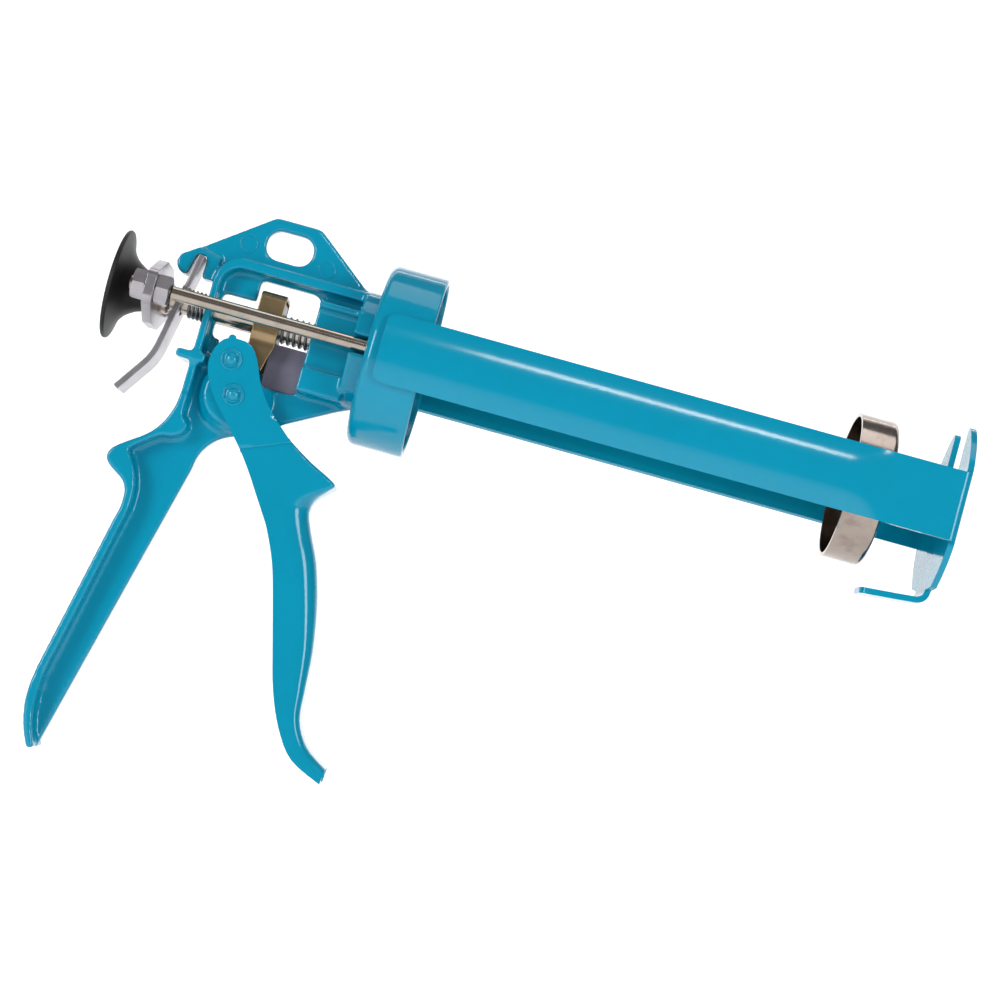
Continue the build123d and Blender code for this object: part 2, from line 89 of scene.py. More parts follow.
def softbox(name, place, size, power, target=aim):
    lamp = bpy.data.lights.new(name, "AREA")
    lamp.shape = "RECTANGLE"
    lamp.size, lamp.size_y = size
    lamp.energy = power
    box = bpy.data.objects.new(name, lamp)
    box.location = place
    box.rotation_euler = (target - Vector(place)).to_track_quat("-Z", "Y").to_euler()
    scene.collection.objects.link(box)
    return box


barrel_flank = Vector((0.110, -0.033, 0.008))
softbox("strip_softbox", (0.167, -0.924, 0.465), (0.308, 0.07), 1.1, barrel_flank)
softbox("left_softbox", (-0.95, -0.95, 0.15), (0.4, 0.7), 8.0)
softbox("right_softbox", (0.98, -0.95, 0.20), (0.4, 0.7), 6.5)
softbox("top_softbox", (0.05, -0.05, 1.0), (1.1, 0.5), 2.5)
softbox("wall_light", (0.0, 0.90, 1.0), (3.0, 0.3), 16.0, Vector((0.0, 1.65, 0.1)))

floor_level = cad_box[0][2] - 0.13
sweep_half, sweep_start, sweep_run, sweep_curve, sweep_rise = 2.6, -1.6, 2.7, 0.5, 2.2
sweep_mesh = bmesh.new()
edge = [sweep_mesh.verts.new((x, sweep_start, floor_level)) for x in (-sweep_half, sweep_half)]
row = sweep_mesh.edges.new(edge)
for step_y, step_z in [(sweep_run, 0.0)] + [
    (sweep_curve * (math.sin(a) - math.sin(b)), sweep_curve * (math.cos(b) - math.cos(a)))
    for b, a in [(i * math.pi / 16, (i + 1) * math.pi / 16) for i in range(8)]
] + [(0.0, sweep_rise)]:
    made = bmesh.ops.extrude_edge_only(sweep_mesh, edges=[row])["geom"]
    row = next(g for g in made if isinstance(g, bmesh.types.BMEdge))
    bmesh.ops.translate(sweep_mesh, verts=row.verts[:], vec=(0, step_y, step_z))
data = bpy.data.meshes.new("sweep")
sweep_mesh.to_mesh(data)
sweep_mesh.free()
for face in data.polygons:
    face.use_smooth = True
sweep_paint = bpy.data.materials.new("sweep_paint")
sweep_paint.use_nodes = True
surface = sweep_paint.node_tree.nodes["Principled BSDF"].inputs
surface["Base Color"].default_value = (0.86, 0.87, 0.88, 1)
surface["Roughness"].default_value = 0.9
surface["Emission Color"].default_value = (1, 1, 1, 1)
surface["Emission Strength"].default_value = 0.3
data.materials.append(sweep_paint)
sweep = bpy.data.objects.new("sweep", data)
scene.collection.objects.link(sweep)


class Value:
    """A shader socket; arithmetic on it adds the Math nodes."""

    def __init__(self, tree, socket):
        self.tree, self.socket = tree, socket

    def math(self, operation, *terms):
        made = self.tree.nodes.new("ShaderNodeMath")
        made.operation = operation
        for slot, term in zip(made.inputs, terms):
            if isinstance(term, Value):
                self.tree.links.new(term.socket, slot)
            else:
                slot.default_value = term
        return Value(self.tree, made.outputs[0])

    def __add__(self, other):
        return self.math("ADD", self, other)

    def __radd__(self, other):
        return self.math("ADD", other, self)

    def __sub__(self, other):
        return self.math("SUBTRACT", self, other)

    def __rsub__(self, other):
        return self.math("SUBTRACT", other, self)

    def __mul__(self, other):
        return self.math("MULTIPLY", self, other)

    def __rmul__(self, other):
        return self.math("MULTIPLY", other, self)

    def __truediv__(self, other):
        return self.math("DIVIDE", self, other)

    def __pow__(self, other):
        return self.math("POWER", self, other)

    def __gt__(self, other):
        return self.math("GREATER_THAN", self, other)

    def over(self, low, high):
        """0 below low, 1 above high, smooth between."""
        t = self.math("MULTIPLY_ADD", self, 1 / (high - low), -low / (high - low))
        return t.math("SMOOTH_MIN", t.math("SMOOTH_MAX", t, 0.0, 0.1), 1.0, 0.1)


class Finish:
    """One material: a Principled surface and the nodes that vary it."""

    def __init__(self, name, **constants):
        self.material = bpy.data.materials.new(name)
        self.material.use_nodes = True
        self.tree = self.material.node_tree
        self.tree.nodes.clear()
        self.surface = self.tree.nodes.new("ShaderNodeBsdfPrincipled")
        output = self.tree.nodes.new("ShaderNodeOutputMaterial")
        self.tree.links.new(self.surface.outputs[0], output.inputs[0])
        for name, value in constants.items():
            self.surface.inputs[name.replace("_", " ")].default_value = value

    def node(self, kind, settings=None, inputs=None, output=0):
        made = self.tree.nodes.new(kind)
        for name, value in (settings or {}).items():
            if name == "stops":
                ramp = made.color_ramp
                while len(ramp.elements) < len(value):
                    ramp.elements.new(0.5)
                for stop, (place, colour) in zip(ramp.elements, value):
                    stop.position, stop.color = place, colour
            else:
                setattr(made, name, value)
        for slot, value in (inputs or {}).items():
            if isinstance(value, Value):
                self.tree.links.new(value.socket, made.inputs[slot])
            else:
                made.inputs[slot].default_value = value
        return Value(self.tree, made.outputs[output])

    def place(self, scale=(1, 1, 1)):
        """The point on the piece, in metres, stretched by scale."""
        coords = self.node("ShaderNodeTexCoord", output="Object")
        return self.node("ShaderNodeMapping", inputs={"Vector": coords, "Scale": scale})

    def noise(self, scale, detail=3.0, roughness=0.5, stretch=(1, 1, 1)):
        return self.node(
            "ShaderNodeTexNoise",
            inputs={
                "Vector": self.place(stretch), "Scale": scale, "Detail": detail, "Roughness": roughness,
            },
            output="Fac",
        )

    def blend(self, factor, first, second):
        return self.node(
            "ShaderNodeMix", {"data_type": "RGBA"}, {0: factor, 6: first, 7: second}, output=2
        )

    def vary(self, name, value):
        self.tree.links.new(value.socket, self.surface.inputs[name])

    def bump(self, height, distance, strength=1.0):
        self.vary("Normal", self.node(
            "ShaderNodeBump", inputs={"Height": height, "Distance": distance, "Strength": strength},
            output="Normal",
        ))
        return self.material


# Handle: one aluminium die casting, tumbled and powder coated. Tab, lug, post, rod block,
# pivot boss, neck and grip are all in it; the rest is bolted, riveted or slid into it.
teal, deep_teal = (0.0, 0.305, 0.47, 1), (0.0, 0.25, 0.40, 1)


def powder_coat(name, colour, deep):
    """Gloss powder coat: orange peel, a slight drift of colour and a few dust nibs."""
    paint = Finish(name, Coat_Weight=0.1, Coat_Roughness=0.05, Specular_IOR_Level=0.42)
    drift = paint.noise(26.0, 2.0)
    cloud = paint.noise(140.0, 4.0)
    peel = paint.noise(800.0, 2.0)
    nibs = paint.noise(2600.0, 1.0).over(0.74, 0.82)
    paint.vary("Base Color", paint.blend(drift * 0.6 + cloud * 0.3, colour, deep))
    paint.vary("Roughness", 0.08 + drift * 0.05 + peel * 0.03)
    return paint.bump(peel * 0.7 + cloud * 0.3 + nibs * 0.5, 0.00003, 0.5)


def shape(name, mesh, finish, body, *nodes, sharp=38.0):
    """Finished piece from a bmesh: material, shading, the body it rides and the CAD it stands for."""
    data = bpy.data.meshes.new(name)
    mesh.to_mesh(data)
    mesh.free()
    for face in data.polygons:
        face.use_smooth = True
    data.set_sharp_from_angle(angle=math.radians(sharp))
    data.materials.append(finish)
    piece = bpy.data.objects.new(name, data)
    scene.collection.objects.link(piece)
    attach(piece, body)
    if nodes:
        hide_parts(*nodes)
    return piece


def rounded(piece, width, segments=3, angle=40.0):
    """Edges broken as paint, plating or the press leaves them."""
    bevel = piece.modifiers.new("rounded", "BEVEL")
    bevel.width = width * mm
    bevel.segments = segments
    bevel.limit_method = "ANGLE"
    bevel.angle_limit = math.radians(angle)
    bevel.harden_normals = True
    return piece


def copy_of(node):
    """The CAD piece as one clean mesh of flat and turned faces."""
    mesh = bmesh.new()
    mesh.from_mesh(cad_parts[node].data)
    bmesh.ops.remove_doubles(mesh, verts=mesh.verts, dist=0.002 * mm)
    bmesh.ops.dissolve_limit(
        mesh, angle_limit=math.radians(1.0), verts=mesh.verts, edges=mesh.edges, delimit=set()
    )
    return mesh


def turned(profile, steps=96, closed=True, place=Matrix()):
    """A profile of (x, radius) points in millimetres, spun about the X axis, then placed."""
    mesh = bmesh.new()
    ring = [mesh.verts.new((x * mm, 0.0, r * mm)) for x, r in profile]
    ends = ring[1:] + ring[:1] if closed else ring[1:]
    loop = [mesh.edges.new(pair) for pair in zip(ring, ends)]
    bmesh.ops.spin(
        mesh, geom=ring + loop, axis=(1, 0, 0), cent=(0, 0, 0), angle=math.tau, steps=steps,
        use_merge=True,
    )
    bmesh.ops.remove_doubles(mesh, verts=mesh.verts, dist=0.001 * mm)
    bmesh.ops.recalc_face_normals(mesh, faces=mesh.faces)
    bmesh.ops.transform(mesh, matrix=place, verts=mesh.verts)
    return mesh


def arc(cx, cy, radius, start, stop, steps=6):
    """Points on an arc, angles in degrees."""
    angles = [math.radians(start + (stop - start) * i / steps) for i in range(steps + 1)]
    return [(cx + radius * math.cos(a), cy + radius * math.sin(a)) for a in angles]


def across(x, z):
    """Turns a spun piece so that its axis lies along Y through the point x, z."""
    return Matrix.Translation((x * mm, 0, z * mm)) @ Matrix.Rotation(math.pi / 2, 4, "Z")


paint = powder_coat("teal_powder_coat", teal, deep_teal)
handle = shape("handle", copy_of("handle_casting"), paint, "handle", "handle_casting")
skin = handle.modifiers.new("cast_skin", "REMESH")
skin.mode, skin.voxel_size, skin.use_smooth_shade = "VOXEL", 0.75 * mm, True
ease = handle.modifiers.new("tumbled", "SMOOTH")
ease.factor, ease.iterations = 0.5, 6

# Raised rings the die leaves on both sides of the tab, plain, under the same paint.
for number, (x, z, radius) in enumerate([(-52.0, 26.4, 3.1), (-22.6, 24.6, 3.0), (-17.5, 15.0, 2.2)]):
    ring_mesh = bmesh.new()
    for side in (-1, 1):
        ring = turned(
            [(a + side * 2.38, b) for a, b in arc(0, radius, 0.3, 0, 330, 11)], 48, True, across(x, z)
        )
        spare = bpy.data.meshes.new("ring")
        ring.to_mesh(spare)
        ring.free()
        ring_mesh.from_mesh(spare)
    shape("die_ring_" + str(number + 1), ring_mesh, paint, "handle")


# Window guard: a stamped steel plate let into the web, grey phosphated.
def bright_metal(name, colour, dark, rough=0.24, grain=(1, 1, 1), scale=900.0, depth=0.00001):
    """Bright metal whose drawn or rolled grain is stretched along one direction."""
    metal = Finish(name, Metallic=1.0)
    streak = metal.noise(scale, 3.0, 0.6, grain)
    cloud = metal.noise(70.0, 3.0)
    stain = metal.noise(160.0, 4.0).over(0.5, 0.75)
    metal.vary("Base Color", metal.blend(cloud * 0.6 + stain * 0.4, colour, dark))
    metal.vary("Roughness", rough - 0.06 + cloud * 0.1 + streak * 0.08)
    return metal.bump(streak, depth, 0.5)


phosphate = Finish("grey_phosphate", Metallic=0.4, Specular_IOR_Level=0.3)
mottle = phosphate.noise(240.0, 4.0)
phosphate.vary("Base Color", phosphate.blend(mottle, (0.25, 0.23, 0.30, 1), (0.19, 0.18, 0.24, 1)))
phosphate.vary("Roughness", 0.5 + mottle * 0.15)
phosphate.bump(mottle, 0.00002, 0.4)
guard = shape("guard_plate", copy_of("window_guard"), phosphate.material, "handle", "window_guard")
rounded(guard, 0.2)


# Trigger: a channel pressed from 2 mm steel. Two flat ears straddle the pivot boss; below
# the crease the front wall closes in a soft roll under the fingers. Coated like the handle.
trigger_half, trigger_sheet, crease_row = 10.4, 2.0, 7
# front (x, z), rear (x, z), depth of the roll, down the trigger
trigger_rows = (
    ((-46.3, -8.55), (-46.9, -8.55), 0.05),
    ((-42.0, -8.9), (-50.6, -10.2), 0.05),
    ((-38.9, -11.0), (-53.0, -15.0), 0.05),
    ((-36.4, -15.2), (-53.3, -20.2), 0.05),
    ((-33.0, -22.6), (-51.2, -26.0), 0.05),
    ((-27.8, -29.6), (-46.8, -32.4), 0.05),
    ((-22.2, -34.9), (-41.0, -38.6), 0.05),
    ((-17.0, -38.9), (-34.4, -46.0), 0.6),
    ((-9.0, -43.7), (-30.4, -51.2), 1.6),
    ((-1.2, -47.5), (-28.4, -54.0), 1.8),
    ((1.45, -49.6), (-27.3, -55.6), 1.8),
    ((-0.6, -52.2), (-26.0, -57.6), 3.0),
    ((-4.2, -56.4), (-23.6, -61.2), 6.5),
    ((-5.0, -61.0), (-20.8, -65.4), 8.2),
    ((-2.6, -67.4), (-17.3, -71.0), 8.0),
    ((2.4, -78.0), (-12.4, -81.8), 7.2),
    ((6.6, -92.0), (-8.8, -93.6), 6.2),
    ((9.6, -108.0), (-4.6, -108.6), 4.6),
    ((10.7, -122.0), (0.0, -124.4), 3.4),
    ((11.9, -132.6), (5.6, -137.0), 3.0),
    ((16.8, -140.9), (12.8, -146.4), 3.0),
    ((25.1, -146.5), (24.6, -152.0), 2.8),
)


def eased(rows, steps):
    """Rows eased through the given ones, so that outlines run as pressed curves."""
    flat = [[*front, *rear, roll] for front, rear, roll in rows]
    out = []
    for i in range(len(flat) - 1):
        around = [flat[max(i - 1, 0)], flat[i], flat[i + 1], flat[min(i + 2, len(flat) - 1)]]
        for k in range(steps):
            t = k / steps
            out.append([
                0.5 * (2 * s + (e - b) * t + (2 * b - 5 * s + 4 * e - a) * t * t
                       + (3 * s - b - 3 * e + a) * t ** 3)
                for b, s, e, a in zip(*around)
            ])
    return out + [flat[-1]]


def channel_section(front_x, front_z, rear_x, rear_z, roll, half):
    """Section from the rear edge of one wall, round the front roll, to the other rear edge."""
    run = math.hypot(front_x - rear_x, front_z - rear_z)
    way = ((front_x - rear_x) / run, (front_z - rear_z) / run)
    roll = max(min(roll, run * 0.8), 0.02)
    side = min(roll, 6.5)
    depths = [((run - roll) * i / 5, half) for i in range(5)]
    depths += [
        (run - roll + roll * math.sin(a), half - side + side * math.cos(a))
        for a in [math.radians(15 * i) for i in range(7)]
    ]
    depths += [(run, (half - side) * (1 - i / 3)) for i in range(1, 4)]
    near = [(rear_x + way[0] * d, -y, rear_z + way[1] * d) for d, y in depths]
    return near + [(x, -y, z) for x, y, z in reversed(near[:-1])]


rows = [(row, trigger_half) for row in eased(trigger_rows, 4)]
crease = crease_row * 4
above, line, below = (rows[crease + k][0] for k in (-1, 0, 1))
groove = [
    ([p + (q - p) * share for p, q in zip(line, other)], trigger_half - depth)
    for other, share, depth in [
        (above, 0.22, 0.0), (above, 0.12, 0.12), (line, 0.0, 0.38), (below, 0.10, 0.22), (below, 0.3, 0.12)
    ]
]
rows[crease:crease + 1] = groove
trigger_mesh = bmesh.new()
strips = []
for row, half in rows:
    points = channel_section(*row, half)
    ring = [trigger_mesh.verts.new([c * mm for c in p]) for p in points]
    strips.append([trigger_mesh.edges.new(pair) for pair in zip(ring, ring[1:])])
for upper, lower in zip(strips, strips[1:]):
    bmesh.ops.bridge_loops(trigger_mesh, edges=upper + lower)
open_front = [
    f for f in trigger_mesh.faces
    if f.calc_center_median().z > -0.0375
    and abs(f.calc_center_median().y) < 9.9 * mm
    and not all(abs(abs(v.co.y) - trigger_half * mm) < 1e-6 for v in f.verts)
]
bmesh.ops.delete(trigger_mesh, geom=open_front, context="FACES")
bmesh.ops.remove_doubles(trigger_mesh, verts=trigger_mesh.verts, dist=0.02 * mm)
bmesh.ops.recalc_face_normals(trigger_mesh, faces=trigger_mesh.faces)
outermost = max(trigger_mesh.faces, key=lambda f: -f.calc_center_median().y * f.calc_area())
if outermost.normal.y > 0:
    bmesh.ops.reverse_faces(trigger_mesh, faces=trigger_mesh.faces)
trigger = shape("trigger_channel", trigger_mesh, paint, "trigger", "trigger", sharp=30)
wall = trigger.modifiers.new("sheet", "SOLIDIFY")
wall.thickness, wall.offset, wall.use_even_offset = trigger_sheet * mm, -1.0, True
rounded(trigger, 0.6, 3, 50)

# Small nub the blanking tool leaves on top of each ear.
for side, name in ((-1, "right"), (1, "left")):
    nub = turned(
        [(side * 8.5, 0.0), (side * 8.5, 1.4)]
        + arc(side * 9.9, 1.0, 0.45, 90, 90 - side * 90, 4)
        + [(side * 10.35, 0.0)], 24, False, across(-47.6, -8.9)
    )
    shape("ear_nub_" + name, nub, paint, "trigger")


# Rivets: a domed head inside a swaged ring on each ear, closed on a plain shank, painted over.
head_half = (
    [(9.2, 2.5), (9.2, 4.1), (10.3, 4.1), (10.5, 3.95)] + arc(10.55, 3.55, 0.36, 90, -90, 6)[1:]
    + [(10.42, 2.95), (10.38, 2.6), (10.46, 2.35)]
    + [
        (10.5 + 1.55 * math.sin(math.radians(15 * i)), 2.25 * math.cos(math.radians(15 * i)))
        for i in range(7)
    ]
)
rivet_profile = [(-x, r) for x, r in reversed(head_half)] + head_half
for node, body, x, z in (
    ("pivot_rivet", "handle", -41.8, -28.1), ("drive_rivet", "trigger", -45.8, -16.1),
):
    shape(node + "_set", turned(rivet_profile, 48, False, across(x, z)), paint, body, node, sharp=50)


# Drive parts: a yellow-passivated saddle folded from strip, three hardened plates that bite
# the rod, the roller that pushes them and the spring that brings them back.
zinc = bright_metal("zinc_plate", (0.60, 0.58, 0.57, 1), (0.34, 0.32, 0.31, 1), 0.26)
gold_zinc = bright_metal("yellow_passivate", (0.50, 0.36, 0.20, 1), (0.25, 0.17, 0.09, 1), 0.28)
spring_wire = bright_metal("spring_wire", (0.30, 0.29, 0.29, 1), (0.10, 0.10, 0.11, 1), 0.28)
saddle_back, saddle_front, saddle_top, saddle_sheet = -42.2, -32.9, 11.1, 1.3
# (y, z, x of the front edge) down one side wall: fold, flat, rolled bead, set-in tail
saddle_wall = (
    [(0.0, saddle_top, saddle_front), (5.6, saddle_top, saddle_front)]
    + [(y, z, saddle_front) for y, z in arc(5.6, saddle_top - 2.4, 2.4, 75, 0, 5)]
    + [(8.0, 4.0, saddle_front), (8.0, -1.0, saddle_front), (7.95, -3.4, saddle_front)]
    + [(7.7, -4.6, saddle_front), (7.2, -5.6, saddle_front), (6.95, -6.8, saddle_front)]
    + [(6.95, -8.0, saddle_front), (6.95, -12.5, -34.2), (6.95, -17.0, -35.2)]
)
saddle_path = [(-y, z, x) for y, z, x in reversed(saddle_wall[1:])] + saddle_wall
saddle_mesh = bmesh.new()
rings = []
for share in (0.0, 0.5, 1.0):
    ring = [
        saddle_mesh.verts.new(((saddle_back + (x - saddle_back) * share) * mm, y * mm, z * mm))
        for y, z, x in saddle_path
    ]
    rings.append([saddle_mesh.edges.new(pair) for pair in zip(ring, ring[1:])])
for one, other in zip(rings, rings[1:]):
    bmesh.ops.bridge_loops(saddle_mesh, edges=one + other)
bmesh.ops.recalc_face_normals(saddle_mesh, faces=saddle_mesh.faces)
topmost = max(saddle_mesh.faces, key=lambda f: f.calc_center_median().z)
if topmost.normal.z < 0:
    bmesh.ops.reverse_faces(saddle_mesh, faces=saddle_mesh.faces)
saddle = shape("saddle_strap", saddle_mesh, gold_zinc, "drive", "drive_saddle", sharp=50)
wall = saddle.modifiers.new("strip", "SOLIDIFY")
wall.thickness, wall.offset = saddle_sheet * mm, -1.0
rounded(saddle, 0.35)

web_mesh = bmesh.new()
hole = arc(0, 0, 5.0, 0, 350, 35)
outline = (
    [(6.6, 3.0)] + arc(0, 3.0, 6.6, 10, 170, 16) + [(-6.6, 3.0)]
    + [(-6.6, 3.0 - 2.2 * k) for k in range(1, 10)] + [(6.6, -16.8 + 2.2 * k) for k in range(9)]
)
for loop in (hole, outline):
    ring = [web_mesh.verts.new((saddle_back * mm, y * mm, z * mm)) for y, z in loop]
    for pair in zip(ring, ring[1:] + ring[:1]):
        web_mesh.edges.new(pair)
bmesh.ops.bridge_loops(web_mesh, edges=web_mesh.edges[:])
bmesh.ops.recalc_face_normals(web_mesh, faces=web_mesh.faces)
web_mesh.faces.ensure_lookup_table()
if web_mesh.faces[0].normal.x < 0:
    bmesh.ops.reverse_faces(web_mesh, faces=web_mesh.faces)
saddle_web = shape("saddle_web", web_mesh, gold_zinc, "drive")
wall = saddle_web.modifiers.new("strip", "SOLIDIFY")
wall.thickness, wall.offset = 1.1 * mm, 1.0


def broken_edges(node, finish, body, width):
    """A small part that keeps its CAD shape, edges broken."""
    return rounded(shape(node + "_body", copy_of(node), finish, body, node), width)


def coil_spring(node, body):
    """A coil spring that rides on one body, on a mesh of its own."""
    coil = shape(node + "_coil", copy_of(node), spring_wire, body, node)
    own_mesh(coil)


hardened = bright_metal("hardened_plate", (0.34, 0.33, 0.32, 1), (0.16, 0.15, 0.15, 1), 0.35)
for node in ("grip_plate_1", "grip_plate_2", "grip_plate_3"):
    broken_edges(node, hardened, "drive", 0.3)
broken_edges("drive_roller", zinc, "trigger", 0.3)
coil_spring("drive_spring", "drive")


# Release lever: a zinc-plated steel blade hung in the slot of the lug, bent back under the
# thumb, with its own short spring against the post.
lever_zinc = bright_metal(
    "tumbled_zinc", (0.58, 0.55, 0.57, 1), (0.32, 0.29, 0.31, 1), 0.30, depth=0.00003
)
broken_edges("release_lever", lever_zinc, "lever", 0.5)
coil_spring("release_spring", "handle")


# Plunger rods: drawn steel, the centre one gripped by the plates, the outer two tied to it
# by the yoke behind and the pusher in front.
rod_steel = bright_metal(
    "drawn_rod_steel", (0.62, 0.54, 0.46, 1), (0.34, 0.28, 0.22, 1), 0.17, (0.04, 1, 1)
)
rod_rows = {
    "centre_rod": (0.0, [(-86.0, 3.0), (-76.9, 3.0), (-76.9, 4.0), (187.6, 4.0), (187.6, 3.0), (197.6, 3.0)]),
    "side_rod_left": (18.6, [(-86.6, 2.5), (187.6, 2.5)]),
    "side_rod_right": (-18.6, [(-86.6, 2.5), (187.6, 2.5)]),
}
for node, (y, corners) in rod_rows.items():
    (tail, tail_r), (nose, nose_r) = corners[0], corners[-1]
    profile = [(tail, 0.0), (tail, tail_r - 0.5), (tail + 0.5, tail_r)]
    if node != "centre_rod":
        # rolled thread under the yoke nuts
        for turn in range(18):
            start = tail + 0.8 + 0.8 * turn
            profile += [(start, tail_r), (start + 0.4, tail_r - 0.35)]
        profile += [(tail + 15.4, tail_r)]
    profile += corners[1:-1] + [(nose - 0.5, nose_r), (nose, nose_r - 0.5), (nose, 0.0)]
    rod = turned(profile, 48, False, Matrix.Translation((0, y * mm, 0)))
    shape(node + "_bar", rod, rod_steel, "plunger", node, sharp=25)


# Yoke, nuts and shoulder: zinc-plated plate and M6 hardware with chamfered corners.
def hex_nut(start, y, width, bore, length):
    """Nut about an axis along X; the chamfer cuts the corners as a turned cone would."""
    mesh = bmesh.new()
    angles = [math.tau * k / 72 for k in range(72)]
    flat = width / 2
    corner = [flat / math.cos((a + math.pi / 6) % (math.pi / 3) - math.pi / 6) for a in angles]
    drop = [(r - flat * 0.97) * 0.5 for r in corner]
    rows = [
        [(0.5, bore)] * 72, [(0.0, bore + 0.4)] * 72, [(0.0, flat * 0.97)] * 72, list(zip(drop, corner)),
        [(length - d, r) for d, r in zip(drop, corner)], [(length, flat * 0.97)] * 72,
        [(length, bore + 0.4)] * 72, [(length - 0.5, bore)] * 72,
    ]
    loops = []
    for row in rows:
        ring = [
            mesh.verts.new(((start + x) * mm, (y + r * math.sin(a)) * mm, r * math.cos(a) * mm))
            for (x, r), a in zip(row, angles)
        ]
        loops.append([mesh.edges.new(pair) for pair in zip(ring, ring[1:] + ring[:1])])
    for one, other in zip(loops, loops[1:] + loops[:1]):
        bmesh.ops.bridge_loops(mesh, edges=one + other)
    bmesh.ops.recalc_face_normals(mesh, faces=mesh.faces)
    return mesh


yoke_back, yoke_front, rod_y = -80.4, -76.9, 18.6
broken_edges("rear_yoke", lever_zinc, "plunger", 0.6)
for name, y in (("left", rod_y), ("right", -rod_y)):
    for node, start in (("yoke_nut_rear_", yoke_back - 5.0), ("yoke_nut_front_", yoke_front)):
        nut = hex_nut(start, y, 10.0, 2.6, 5.0)
        shape(node + name + "_hex", nut, lever_zinc, "plunger", node + name, sharp=25)
broken_edges("rod_shoulder", rod_steel, "plunger", 0.2)


# Thumb pad: black moulded polypropylene pressed over the tail of the centre rod.
pad_plastic = Finish("black_polypropylene", Specular_IOR_Level=0.4)
grain = pad_plastic.noise(1500.0, 3.0)
rub = pad_plastic.noise(60.0, 4.0)
pad_plastic.vary("Base Color", pad_plastic.blend(rub, (0.006, 0.006, 0.006, 1), (0.016, 0.014, 0.014, 1)))
pad_plastic.vary("Roughness", 0.32 + rub * 0.2 + grain * 0.05)
pad_plastic.bump(grain, 0.00002, 0.4)
pad_profile = (
    [(-86.2, 3.1), (-80.6, 3.1), (-80.45, 3.3), (-80.45, 6.6), (-80.8, 7.0), (-83.0, 7.3)]
    + [(-85.2, 8.1), (-87.0, 9.2), (-88.6, 10.4), (-89.8, 11.8), (-90.8, 13.4), (-91.5, 15.2)]
    + [(-92.1, 17.2), (-92.55, 18.9)] + arc(-93.45, 19.0, 0.85, 20, 170, 6)
    + [(-94.6, 17.0), (-94.75, 14.0), (-94.7, 9.0), (-94.5, 4.0), (-94.4, 0.0), (-86.2, 0.0)]
)
shape("thumb_pad_disc", turned(pad_profile, 96, False), pad_plastic.material, "plunger", "thumb_pad")


# Collar: a deep-drawn steel cup that turns on the neck of the handle; coated with the
# cradle. The friction ring, the plate and its screws hold it on.
collar_radius, collar_length = 33.0, 21.0
collar_profile = (
    [(0.0, 22.2)] + arc(3.2, collar_radius - 3.2, 3.2, 180, 90, 8)
    + arc(collar_length - 0.9, collar_radius - 0.9, 0.9, 90, 0, 4)
    + arc(collar_length - 0.9, collar_radius - 1.1, 0.9, 0, -90, 4)
    + arc(3.2, collar_radius - 3.2, 1.2, 90, 180, 5)
    + [(2.0, 22.2)] + arc(1.5, 21.9, 0.35, 0, -90, 2) + arc(0.5, 21.9, 0.35, -90, -180, 2)
)
shape("collar_cup", turned(collar_profile, 128), paint, "cradle", "collar")
broken_edges("friction_ring", gold_zinc, "cradle", 0.1)
broken_edges("retaining_plate", zinc, "handle", 0.3)
for number in range(1, 5):
    broken_edges("retaining_screw_" + str(number), zinc, "handle", 0.15)


# Cradle: one blank cut from 2.2 mm steel, folded so that two straps run back to the collar
# and a lip turns under the cartridge; spot-welded to the collar and coated with it.
sheet, out_x, disc, notch, horn_gap, strap_half = 2.2, 214.6, 33.4, 9.2, 11.5, 12.3
fold, fold_y, lip_fold, lip_z, lip_half = 3.0, 30.4, 4.6, -29.8, 8.6
half_outline = (
    arc(0, 0, notch, -90, 0, 10)
    + [(horn_gap, 12.0)]
    + arc(13.5, 28.2, 2.0, 180, 64.4, 6)
    + arc(0, 0, disc, 61, 24.6, 9)
    + [(30.3, 12.75)]
    + [(fold_y, strap_half * (1 - i / 12)) for i in range(25)]
    + [(30.3, -12.75)]
    + arc(0, 0, disc, -24.6, -54.5, 8)
    + [(18.6, -28.2), (12.0, -28.9), (9.6, -29.1)]
    + [(lip_half * (1 - i / 4), lip_z) for i in range(5)]
)
cradle_mesh = bmesh.new()
rim = [cradle_mesh.verts.new((out_x * mm, y * mm, z * mm)) for y, z in half_outline]
cradle_mesh.faces.new(rim)


def fold_on(mesh, edges, stations):
    """Carries a row of edges through stations; each station moves one corner of the row."""
    for station in stations:
        made = bmesh.ops.extrude_edge_only(mesh, edges=edges)["geom"]
        edges = [g for g in made if isinstance(g, bmesh.types.BMEdge)]
        for corner in {v for e in edges for v in e.verts}:
            station(corner)


def strap_station(x, y=None, dish=0.0, round_off=0.0):
    def move(corner):
        flat = disc if y is None else y
        curved = math.sqrt((collar_radius + sheet) ** 2 - (corner.co.z / mm) ** 2)
        past = max(abs(corner.co.z) / mm - strap_half + round_off, 0.0)
        back = round_off - math.sqrt(max(round_off ** 2 - past ** 2, 0.0))
        corner.co.x, corner.co.y = (x + back) * mm, (flat + dish * (curved - flat)) * mm
    return move


def lip_station(x, z, share=1.0):
    def move(corner):
        corner.co.x, corner.co.z = x * mm, z * mm
        corner.co.y *= share
    return move


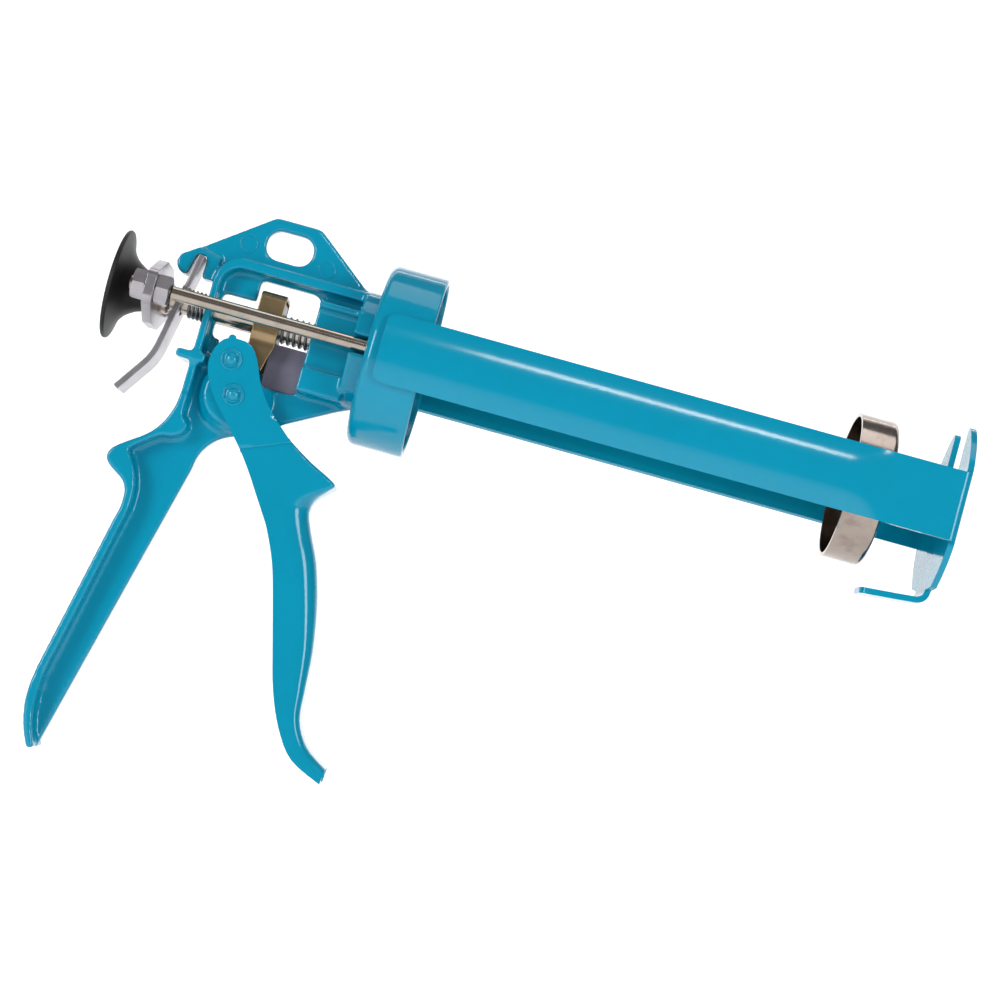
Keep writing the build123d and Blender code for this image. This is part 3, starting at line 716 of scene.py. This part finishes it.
strap_root = [
    e for e in cradle_mesh.edges
    if all(abs(v.co.y - fold_y * mm) < 1e-7 and abs(v.co.z) < 12.4 * mm for v in e.verts)
]
fold_on(
    cradle_mesh, strap_root,
    [strap_station(x, y) for x, y in arc(out_x - fold, fold_y, fold, 15, 90, 5)]
    + [strap_station(203.0), strap_station(196.0)]
    + [strap_station(196.0 - 2 * i, dish=(i / 12) ** 2 * (3 - i / 6)) for i in range(1, 13)]
    + [strap_station(x, dish=1.0) for x in (160, 120, 80, 40, 14)]
    + [strap_station(8.4, dish=1.0, round_off=0.4), strap_station(4.9, dish=1.0, round_off=3.0)],
)
lip_root = [
    e for e in cradle_mesh.edges
    if all(abs(v.co.z - lip_z * mm) < 1e-7 and v.co.x > (out_x - 0.1) * mm for v in e.verts)
]
fold_on(
    cradle_mesh, lip_root,
    [lip_station(x, z) for x, z in [
        (a, 2 * lip_z - b) for a, b in arc(out_x - lip_fold, lip_z, lip_fold, 14, 84, 5)
    ]]
    + [lip_station(203.0, -35.1), lip_station(194.0, -35.9)]
    + [lip_station(192.2, -36.0, 0.97), lip_station(191.1, -36.1, 0.9), lip_station(190.5, -36.15, 0.75)],
)
bmesh.ops.mirror(
    cradle_mesh, geom=cradle_mesh.verts[:] + cradle_mesh.edges[:] + cradle_mesh.faces[:],
    axis="Y", merge_dist=0.01 * mm,
)
bmesh.ops.remove_doubles(cradle_mesh, verts=cradle_mesh.verts, dist=0.01 * mm)
bmesh.ops.recalc_face_normals(cradle_mesh, faces=cradle_mesh.faces)
front_face = max(cradle_mesh.faces, key=lambda f: f.calc_area() * (f.calc_center_median().x > 0.2))
if front_face.normal.x < 0:
    bmesh.ops.reverse_faces(cradle_mesh, faces=cradle_mesh.faces)
cradle = shape(
    "cradle_sheet", cradle_mesh, paint, "cradle", "strap_left", "strap_right", "front_plate"
)
wall = cradle.modifiers.new("sheet", "SOLIDIFY")
wall.thickness, wall.offset, wall.use_even_offset = sheet * mm, -1.0, True
rounded(cradle, 0.8, 4, 50)


# Pushers: a nickel-plated steel cup for the outer chamber, a disc for the inner one, both
# nutted to the front ends of the rods.
nickel = bright_metal("nickel_plate", (0.54, 0.46, 0.40, 1), (0.24, 0.18, 0.16, 1), 0.13)
broken_edges("pusher_cup", nickel, "plunger", 0.5)
broken_edges("inner_pusher", nickel, "plunger", 0.4)
for name, y in (("left", rod_y), ("right", -rod_y)):
    nut = hex_nut(183.3, y, 8.0, 2.6, 2.8)
    shape("cup_nut_" + name + "_hex", nut, zinc, "plunger", "cup_nut_" + name, sharp=25)
front_nut = hex_nut(192.6, 0.0, 10.0, 3.1, 4.0)
shape("inner_pusher_nut_hex", front_nut, zinc, "plunger", "inner_pusher_nut", sharp=25)
